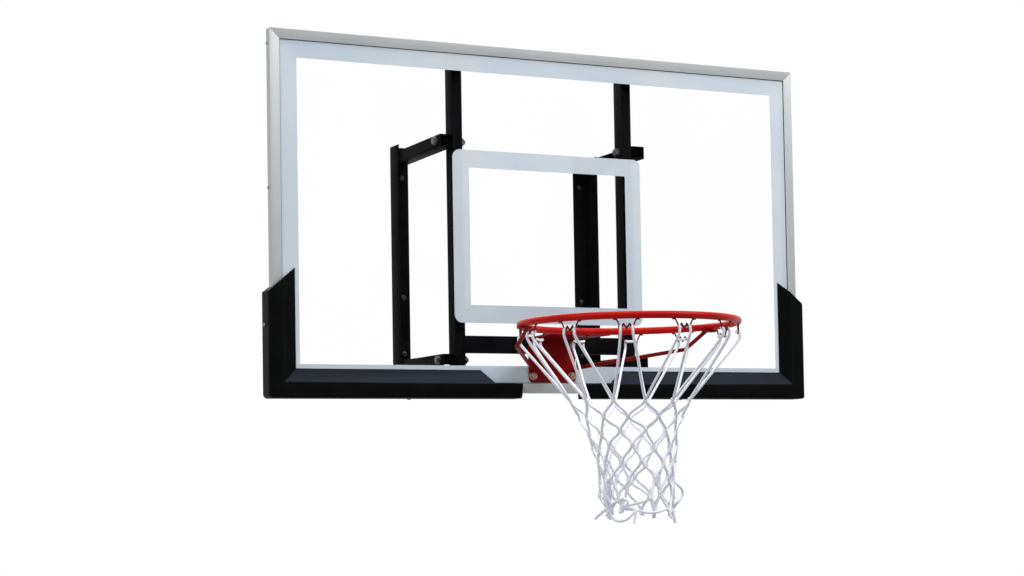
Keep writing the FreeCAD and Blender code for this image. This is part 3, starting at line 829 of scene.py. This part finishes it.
screwed = [
    ("frame_screws", 0.0038, 0.0024, 0.00175),
    ("pad_screws", 0.0045, 0.0026, 0.002),
]
for node, head_r, head_h, radius in screwed:
    spots, length = head_spots(node, head_h)
    piece = set_out(pan_screw(head_r, head_h, radius, length), node + "_domed", spots)
    settle(piece, zinc, "zinc_steel", node)
    print(piece.name, len(spots), "screws of", round(1000 * length), "mm")

# %% [markdown]
# A dull dark head sits in each hole of the wall angles. The holes are where the part is mounted,
# so the solids leave them open and the imported record says where they are. The screws are made
# here, short enough to reach only a little way past the wall face. Their nearly black colour is
# painted shade, for the dark of the holes.

# %% Put the wall screws in their holes
angle_wall = 0.004
wall_spots = []
for mount in frame["record"]["mounts"]:
    if mount["kind"] == "bolt_pattern":
        half_x = mount["dims"]["spacing_x_mm"] / 2000
        half_z = mount["dims"].get("spacing_y_mm", 0.0) / 2000
        for x in (-half_x, half_x):
            for z in sorted({-half_z, half_z}):
                place = Vector(mount["pos_m"]) + Vector((x, -angle_wall, z))
                wall_spots.append((place, pointing(1, -1)))
wall_screw = pan_screw(head_r=0.0068, head_h=0.0040, radius=0.0035, length=0.0125)
wall_screws = set_out(wall_screw, "wall_screws_domed", wall_spots)
# Painted shade: the wall screws are nearly black for the dark of their holes.
settle(wall_screws, shade_black_zinc, "zinc_steel")
print(wall_screws.name, len(wall_spots), "screws")

# %% [markdown]
# ## Welds
# A weld is laid drop by drop, so its bead is a row of overlapping ripples. A turned bar whose
# radius swells and shrinks along its length, sunk into the corner, shows just that.


# %% Lay the weld beads
drop_pitch, bead_r = 0.003, 0.0028


def weld_bead(length, radius):
    drops = round(length / drop_pitch)
    pitch = length / drops
    profile = [(0.4 * radius, -length / 2)]
    for k in range(drops):
        up = -length / 2 + k * pitch
        profile += [(radius, up + 0.35 * pitch), (0.96 * radius, up + 0.7 * pitch)]
        profile.append((0.86 * radius, up + 0.92 * pitch))
    return turned(profile + [(0.4 * radius, length / 2)], sides=16)


runs = {}
for low, high, middle in solids_in("bracket_welds"):
    axis = long_axis(low, high)
    runs.setdefault(round(high[axis] - low[axis], 3), []).append((middle, pointing(axis)))
beads = []
for length, spots in runs.items():
    beads.append(set_out(weld_bead(length, bead_r), "weld_run", spots))
welds = join(beads, "bracket_welds_beaded")
settle(welds, black_coat, "black_steel", "bracket_welds")
print(welds.name, {length: len(spots) for length, spots in runs.items()})

# %% [markdown]
# ## Corner pads
# Each pad is one moulding of dense foam that wraps a lower corner of the frame. Its front has a
# flat band, a ridge and a face that slopes back to the sheet. Foam leaves its mould with soft
# edges, so the ridge and the outer edges get a wide bevel. The thin lip on the sheet stays sharp.

# %% Model the pads
front_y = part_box("frame_top")[0].y
lip_reach = 0.004
pad_bevel = 0.0022


def proud(a, b):
    return max(a.y, b.y) < front_y - lip_reach


for node in ("left_pad", "right_pad"):
    piece = clean_copy(node, node + "_moulded")
    bevel_edges(piece, pad_bevel, segments=3, test=proud)
    settle(piece, pad_skin, "pad_rubber", node)
    print(piece.name, len(piece.data.polygons), "faces")

# %% [markdown]
# ## The net
# Twelve bights of cord hang on the twelve clips. Each bight passes over the clip's two bends and
# its two legs run down to the first row of knots. Below that the cords cross from knot to knot
# in diamonds, and the last row ends in short tails. A tidy lathe of cords would look stiff, so
# every knot is moved a little by seeded random numbers, more towards the bottom, and low down on
# the left the knots are drawn together into a bunch.

# %% Place the knots
net_rows, net_columns = 8, 12
first_down, last_down = 0.170, 0.404
first_r, waist_r, taper = 0.133, 0.081, 3.8
net_lean = Vector((0.013, -0.006, 0.0))
cord_r = 0.0029
step = 2 * math.pi / net_columns
chance = random.Random(21)
bunch_angle, bunch_half = math.radians(188), math.radians(60)
bunch_pull = (0.0, 0.0, 0.0, 0.12, 0.30, 0.52, 0.72, 0.84)
knot_turn, knot_in, knot_out, knot_drop = 0.15, 0.009, 0.004, 0.011


def ring_place(angle, radius, along, z):
    x = radius * math.cos(angle) - along * math.sin(angle)
    y = radius * math.sin(angle) + along * math.cos(angle)
    return Vector((ring_mid.x + x, ring_mid.y + y, ring_mid.z + z))


knots = []
for row in range(net_rows):
    part = row / (net_rows - 1)
    slack = 0.25 + 0.75 * part
    radius = waist_r + (first_r - waist_r) * math.exp(-taper * part)
    line = []
    for i in range(net_columns):
        angle = step * (i + 0.5 * ((row + 1) % 2)) + chance.uniform(-knot_turn, knot_turn) * slack
        off = (angle - bunch_angle + math.pi) % (2 * math.pi) - math.pi
        if abs(off) < bunch_half:
            angle -= off * bunch_pull[row] * (1 - (off / bunch_half) ** 2) ** 0.5
        out = radius + chance.uniform(-knot_in, knot_out) * slack
        down = first_down + (last_down - first_down) * part
        down += chance.uniform(-knot_drop, knot_drop) * slack
        line.append(ring_place(angle, out, 0.0, -down) + net_lean * part)
    knots.append(line)
print("knots:", sum(len(line) for line in knots))

# %% [markdown]
# The cords are curves with a round bevel, made into a mesh of rings. Blender gives each curve a UV
# map from 0 to 1, in equal steps from point to point. The points are close at a clip and far apart
# on a leg, so the map is laid again by the distance from ring to ring. The plait then has one
# size everywhere. The open ends are filled last.


# %% Run the cords
def lay_uv(mesh, routes, smooth, sides, closed):
    measured = []
    for route in routes:
        count = smooth * (len(route) if closed else len(route) - 1)
        middles = []
        for k in range(count):
            start = (len(measured) + k) * sides
            circle = [mesh.vertices[v].co for v in range(start, start + sides)]
            middles.append(sum(circle, Vector()) / sides)
        if closed:
            middles.append(middles[0])
        reached = [0.0]
        for a, b in zip(middles, middles[1:]):
            reached.append(reached[-1] + (b - a).length)
        measured += [reached] * count
    for loop, place in zip(mesh.loops, mesh.uv_layers["UVMap"].data):
        reached = measured[loop.vertex_index // sides]
        place.uv.x = reached[round(place.uv.x * (len(reached) - 1))]


def cord_mesh(name, routes, smooth, radius, closed=False):
    curve = bpy.data.curves.new(name, "CURVE")
    curve.dimensions = "3D"
    curve.resolution_u = smooth
    curve.bevel_depth = radius
    curve.bevel_resolution = 3
    for route in routes:
        spline = curve.splines.new("NURBS")
        spline.points.add(len(route) - 1)
        for point, place in zip(spline.points, route):
            point.co = (*place, 1.0)
        spline.use_cyclic_u = closed
        spline.use_endpoint_u = not closed
        spline.order_u = 3
    piece = bpy.data.objects.new(name, curve)
    bpy.context.scene.collection.objects.link(piece)
    sides = 2 * curve.bevel_resolution + 4
    pick(piece)
    bpy.ops.object.convert(target="MESH")
    piece = bpy.context.object
    lay_uv(piece.data, routes, smooth, sides, closed)
    if not closed:
        bpy.ops.object.mode_set(mode="EDIT")
        bpy.ops.mesh.select_all(action="SELECT")
        bpy.ops.mesh.fill_holes(sides=0)
        bpy.ops.object.mode_set(mode="OBJECT")
    return piece


wire_bottom = -0.0264
hook_half = 0.0115
over = 0.0046
leg_sway = 0.0012
bend_route = [
    (0.0, -over, 0.0022),
    (hook_half - 0.002, -over, 0.0028),
    (hook_half + 0.0004, -0.6 * over, over - 0.0004),
    (hook_half + 0.0008, 0.6 * over, over - 0.0014),
    (hook_half + 0.0014, 0.85 * over, -0.005),
    (hook_half + 0.0014, 0.6 * over, -0.013),
]
bights = []
for i in range(net_columns):
    angle = step * i
    left, right = knots[0][i - 1], knots[0][i]
    route = []
    for side, knot in ((-1, left), (1, right)):
        leg = []
        for along, out, z in bend_route:
            leg.append(ring_place(angle, hang_r + out, side * along, wire_bottom + z))
        start = leg[-1]
        for share in (0.3, 0.65, 0.93):
            sway = Vector((chance.uniform(-1, 1), chance.uniform(-1, 1), 0)) * leg_sway
            leg.append(start.lerp(knot, share) + sway)
        leg.append(knot)
        route = list(reversed(leg)) + route if side < 0 else route + leg[1:]
    bights.append(route)

strands = []
bow_in, bow_out = 0.002, 0.003
for row in range(net_rows - 1):
    shift = (row + 1) % 2
    for i in range(net_columns):
        top = knots[row][i]
        for low in (knots[row + 1][(i + shift) % net_columns], knots[row + 1][i + shift - 1]):
            run = low - top
            flat = Vector((run.x, run.y, 0))
            drop = Vector((0, 0, run.z))
            bow = flat.orthogonal().normalized() * chance.uniform(-bow_in, bow_out)
            strands.append([
                top,
                top + 0.16 * flat + 0.26 * drop,
                top + 0.5 * flat + 0.5 * drop + bow,
                top + 0.84 * flat + 0.74 * drop,
                low,
            ])

tails = []
tail_short, tail_long, tail_side = 0.005, 0.012, 0.006
for knot in knots[-1]:
    for turn in (-1, 1):
        reach = chance.uniform(tail_short, tail_long)
        side = Vector((chance.uniform(-1, 1), chance.uniform(-1, 1), 0)) * tail_side
        tails.append([
            knot,
            knot + turn * 0.4 * side + Vector((0, 0, -0.4 * reach)),
            knot + turn * side + Vector((0, 0, -reach)),
        ])
print("bights", len(bights), "strands", len(strands), "tails", len(tails))

# %% [markdown]
# The mouth of this net is untidy: slack loops hang from knot to knot, one end has curled into an
# eye, a few ends hang lower, and on the left five cords are twisted into the bunch. These are
# short routes of their own, given as angle round the net in degrees, and distance from its axis and
# depth below the ring in millimetres. Each starts at the nearest knot, and a slack loop ends at
# one too.

# %% Hang the loose ends
slack_loops = [
    [(190, 79, 400), (196, 85, 417), (207, 88, 428), (221, 88, 427), (232, 86, 414),
     (237, 82, 400)],
    [(238, 83, 404), (254, 87, 411), (272, 87, 409), (289, 84, 400)],
    [(322, 84, 352), (331, 93, 360), (335, 97, 371), (332, 92, 383), (324, 84, 390)],
]
twist_middle, bunch_out, twist_out = 189, 83, 7.5
twist_top, twist_foot, twist_turn = 332, 410, 300
twist_strands, twist_points = 5, 7
slip = random.Random(5)
for strand in range(twist_strands):
    twisted = []
    top, turns = twist_top + slip.uniform(0, 16), twist_turn + slip.uniform(0, 160)
    for k in range(twist_points):
        part = k / (twist_points - 1)
        t = math.radians(360 / twist_strands * strand + turns * part)
        reach = twist_out * (0.55 + 0.45 * math.sin(math.pi * part)) + slip.uniform(-1.5, 1.5)
        turn = twist_middle + math.degrees(reach / bunch_out) * math.sin(t)
        twisted.append((turn, bunch_out + reach * math.cos(t), top + (twist_foot - top) * part))
    slack_loops.append(twisted)
loose_ends = [
    [(190, 78, 396), (198, 85, 391), (208, 86, 386), (219, 87, 378), (227, 87, 386), (222, 86, 397),
     (213, 86, 393), (214, 85, 383), (221, 84, 377)],
    [(236, 82, 398), (237, 85, 412), (234, 86, 424), (235, 87, 433)],
    [(298, 82, 398), (299, 85, 412), (302, 86, 424), (303, 87, 434)],
    [(301, 82, 400), (304, 84, 414), (304, 86, 428)],
    [(186, 80, 398), (177, 86, 408), (172, 94, 416), (169, 100, 423)],
    [(192, 80, 384), (184, 89, 390), (180, 82, 397), (188, 76, 401), (196, 82, 405),
     (190, 89, 410)],
]


def nearest_knot(place):
    return min((p for line in knots for p in line), key=lambda p: (p - place).length)


loose = []
for route in slack_loops + loose_ends:
    places = [
        ring_place(math.radians(turn), out / 1000, 0.0, -down / 1000) + net_lean
        for turn, out, down in route
    ]
    last = [nearest_knot(places[-1])] if route in slack_loops else []
    loose.append([nearest_knot(places[0])] + places + last)
print("slack loops:", len(slack_loops), "loose ends:", len(loose_ends))

# %% [markdown]
# Where two cords cross they are tied. A trefoil, the curve of a simple overhand knot, drawn with
# the same cord makes a lump of the right size, flattened against the wall of the net.


# %% Tie the knots
tie_size, tie_points = 0.00115, 12
tie_width, tie_depth = 0.8, 1.1


def knot_route(place, size, spin):
    away = Vector((place.x - ring_mid.x, place.y - ring_mid.y, 0)).normalized()
    across = Vector((-away.y, away.x, 0))
    route = []
    for k in range(tie_points):
        t = 2 * math.pi * k / tie_points + spin
        u = math.sin(t) + 2 * math.sin(2 * t)
        v = math.cos(t) - 2 * math.cos(2 * t)
        w = -math.sin(3 * t)
        flat = across * u * tie_width + Vector((0, 0, v))
        route.append(place + size * (flat + away * w * tie_depth))
    return route


ties = [knot_route(p, tie_size, chance.uniform(0, 6.28)) for line in knots for p in line]
net_parts = [
    cord_mesh("net_bights", bights, 4, cord_r),
    cord_mesh("net_strands", strands, 3, cord_r),
    cord_mesh("net_tails", tails, 4, cord_r),
    cord_mesh("net_loose", loose, 5, cord_r),
    cord_mesh("net_ties", ties, 2, cord_r, closed=True),
]
net = join(net_parts, "net_knotted")
settle(net, net_white, "net_cord", "net", crease=70)
print(net.name, len(net.data.polygons), "faces")

# %% [markdown]
# ## The clips
# Each clip is one bent wire. Its two feet lie along the underside of the ring, its legs lean in to
# the two bends that hold a bight, and between them the wire makes one more V. A corner is rounded
# by a point a little before it and one a little after it.


# %% Bend the clips
def bent_route(corners, bend):
    route = [corners[0]]
    for before, corner, after in zip(corners, corners[1:], corners[2:]):
        route.append(corner + bend * (before - corner).normalized())
        route.append(corner)
        route.append(corner + bend * (after - corner).normalized())
    return route + [corners[-1]]


clip_r, clip_bend = 0.0017, 0.003
foot_end, foot_start, shoulder = 0.0275, 0.0205, 0.0062
foot_gap, bend_lift = 0.0009, 0.0008
foot_z, shoulder_z, middle_z = -rod_r - foot_gap, -0.0172, -0.0285
half_clip = [
    (foot_end, foot_z),
    (foot_start, foot_z),
    (hook_half, wire_bottom - bend_lift),
    (shoulder, shoulder_z),
]
clip_routes = []
for i in range(net_columns):
    corners = [ring_place(step * i, hang_r, -along, z) for along, z in half_clip]
    corners.append(ring_place(step * i, hang_r, 0.0, middle_z))
    corners += [ring_place(step * i, hang_r, along, z) for along, z in reversed(half_clip)]
    clip_routes.append(bent_route(corners, clip_bend))
# The clips take the darkest red, which is painted shade.
clips = cord_mesh("net_clips_bent", clip_routes, 4, clip_r)
settle(clips, shaded_wire_red, "red_steel", "net_clips")
print(clips.name, len(clips.data.polygons), "faces")

# %% [markdown]
# ## Finishes on the pieces that stay
# The other solids already have the right shape, so they keep it and get a finish.

# %% Dress the remaining solids
dressed = {
    "clear_sheet": sheet_clear,
    "white_print": print_white,
    "gasket_rubber": seal_black,
    "frame_aluminium": silver_across,
    "pad_rubber": pad_skin,
    "black_steel": black_coat,
    "black_plastic": cap_black,
    "zinc_steel": zinc,
    "red_steel": red_coat,
    "net_cord": net_white,
}
# The welds and braces take the darker red, which is painted shade.
own_finish = {
    "rim_welds": shaded_weld_red,
    "rim_brace_left": shaded_plate_red,
    "rim_brace_right": shaded_plate_red,
}
for part in frame["record"]["subparts"]:
    solid = nodes[part["node"]]
    solid.data.materials.clear()
    solid.data.materials.append(own_finish.get(part["node"], dressed[part["material_slot"]]))

# %% [markdown]
# ## Sizes
# Both boxes, of the solids and of the dressed object, are printed. The dressed object has
# to stay in the box of the solids.

# %% Write the sizes and finish
boxes = {"cad": cad_box, "visual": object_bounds()}
boxes = {name: [[float(v) for v in corner] for corner in box] for name, box in boxes.items()}
print(boxes)
